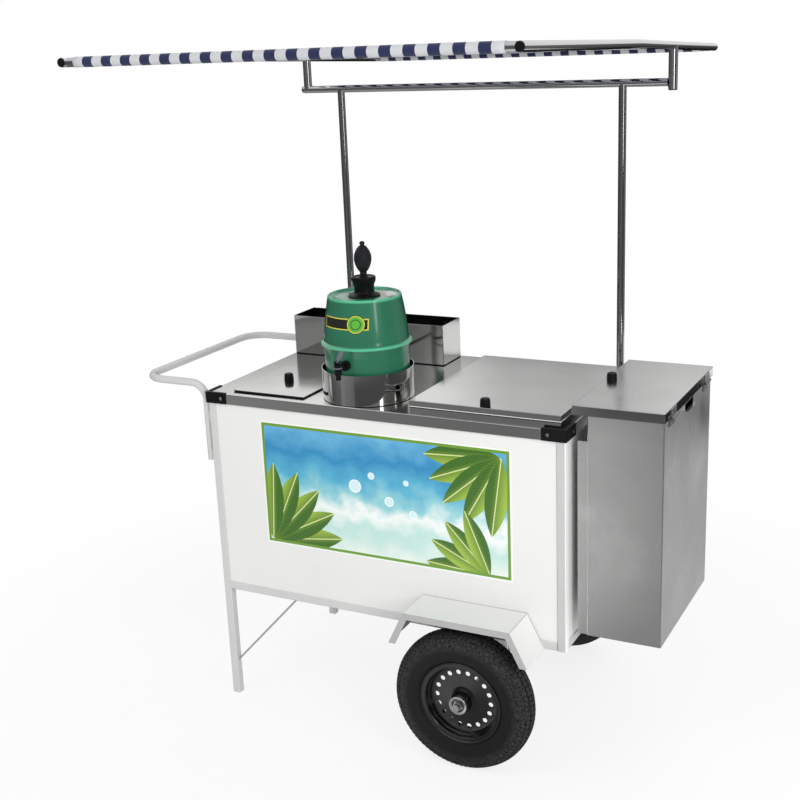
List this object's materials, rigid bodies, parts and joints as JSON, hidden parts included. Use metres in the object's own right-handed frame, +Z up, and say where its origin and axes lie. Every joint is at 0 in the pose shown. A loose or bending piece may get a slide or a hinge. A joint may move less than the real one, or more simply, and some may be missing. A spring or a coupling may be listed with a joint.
{
  "type": "street drink cart",
  "caption": "Two-wheeled street cart for chilled drinks: steel body, stainless worktop with ice tub and storage lid, keg with tap, waste bin, push handle and a cloth canopy on poles.",
  "frame": {"origin": "on the floor, below the middle of the worktop", "axes": "+X along the cart from the push handle to the waste bin, +Y from the customer's side to the vendor's side, +Z up"},
  "size_m": [1.585, 1.5626, 1.9029],
  "materials": {
    "white_paint": "semi-gloss",
    "printed_sheet": "gloss",
    "stainless_sheet": "satin",
    "chrome_tube": "polished",
    "plated_steel": "zinc plated",
    "black_plastic": "satin",
    "grey_plastic": "gloss",
    "black_rubber": "matt",
    "tyre_rubber": "matt",
    "black_paint": "semi-gloss",
    "green_plastic": "gloss",
    "white_plastic": "matt",
    "striped_cloth": "matt"
  },
  "bodies": {
    "cart": {"leg_front_left": "white_paint", "leg_rear_left": "white_paint", "right_posts": "white_paint", "bottom_frame": "white_paint", "top_frame": "white_paint", "front_panel": "white_paint", "rear_panel": "white_paint", "end_panels": "white_paint", "floor_panel": "white_paint", "axle_hangers": "white_paint", "front_fender": "white_paint", "rear_fender": "white_paint", "pole_sockets": "white_paint", "handle": "white_paint", "leg_braces": "white_paint", "print_panel": "printed_sheet", "worktop": "stainless_sheet", "storage_tray": "stainless_sheet", "ice_tub": "stainless_sheet", "cup_box": "stainless_sheet", "keg_collar": "stainless_sheet", "bin_body": "stainless_sheet", "lid_hinge_base_leaves": "stainless_sheet", "lid_hinge_pins": "stainless_sheet", "corner_rivets": "chrome_tube", "axle": "plated_steel", "axle_end_fasteners": "plated_steel", "pole_thumbscrews": "plated_steel", "corner_protectors": "black_plastic", "ice_tub_insulation": "white_plastic"},
    "front_wheel": {"front_tyre": "tyre_rubber", "front_wheel_rim": "black_paint", "front_wheel_bearings": "plated_steel"},
    "rear_wheel": {"rear_tyre": "tyre_rubber", "rear_wheel_rim": "black_paint", "rear_wheel_bearings": "plated_steel"},
    "storage_cover": {"storage_lid": "stainless_sheet", "storage_lid_gasket": "black_rubber", "storage_lid_knob": "black_plastic"},
    "ice_cover": {"ice_lid": "stainless_sheet", "ice_lid_core": "white_plastic", "ice_lid_knob": "black_plastic", "ice_lid_hinge_leaves": "stainless_sheet"},
    "bin_cover": {"bin_lid": "stainless_sheet", "bin_lid_knob": "black_plastic", "bin_lid_hinge_leaves": "stainless_sheet"},
    "keg": {"keg_shell": "green_plastic", "keg_liner": "white_plastic", "tap_body": "black_plastic"},
    "stopper": {"keg_stopper": "black_plastic", "pump_bulb": "black_rubber"},
    "tap_handle": {"tap_lever": "grey_plastic"},
    "canopy": {"pole_left": "chrome_tube", "pole_right": "chrome_tube", "side_frame_left": "chrome_tube", "side_frame_right": "chrome_tube", "front_tube": "chrome_tube", "rear_tube": "chrome_tube", "canopy_fabric": "striped_cloth", "tube_plugs": "black_plastic"}
  },
  "joints": [
    {"name": "front_wheel_spin", "type": "hinge", "parent": "cart", "child": "front_wheel", "pos_m": [0.28, -0.3812, 0.199], "axis": [0, 1, 0], "continuous": true},
    {"name": "rear_wheel_spin", "type": "hinge", "parent": "cart", "child": "rear_wheel", "pos_m": [0.28, 0.3812, 0.199], "axis": [0, 1, 0], "continuous": true},
    {"name": "ice_lid_hinge", "type": "hinge", "parent": "cart", "child": "ice_cover", "pos_m": [0.3135, 0.2128, 0.9775], "axis": [-1, 0, 0], "range_deg": [0, 95]},
    {"name": "bin_lid_hinge", "type": "hinge", "parent": "cart", "child": "bin_cover", "pos_m": [0.789, -0.041, 0.996], "axis": [0, 1, 0], "range_deg": [0, 105]},
    {"name": "storage_lid_lift", "type": "slide", "parent": "cart", "child": "storage_cover", "axis": [0, 0, 1], "range_m": [0, 0.12]},
    {"name": "keg_lift", "type": "slide", "parent": "cart", "child": "keg", "axis": [0, 0, 1], "range_m": [0, 0.15]},
    {"name": "stopper_lift", "type": "slide", "parent": "keg", "child": "stopper", "axis": [0, 0, 1], "range_m": [0, 0.05]},
    {"name": "tap_lever_tilt", "type": "hinge", "parent": "keg", "child": "tap_handle", "pos_m": [-0.083, -0.3398, 1.0925], "axis": [1, 0, 0], "range_deg": [0, 70]},
    {"name": "canopy_lift", "type": "slide", "parent": "cart", "child": "canopy", "axis": [0, 0, 1], "range_m": [0, 0.2]}
  ]
}
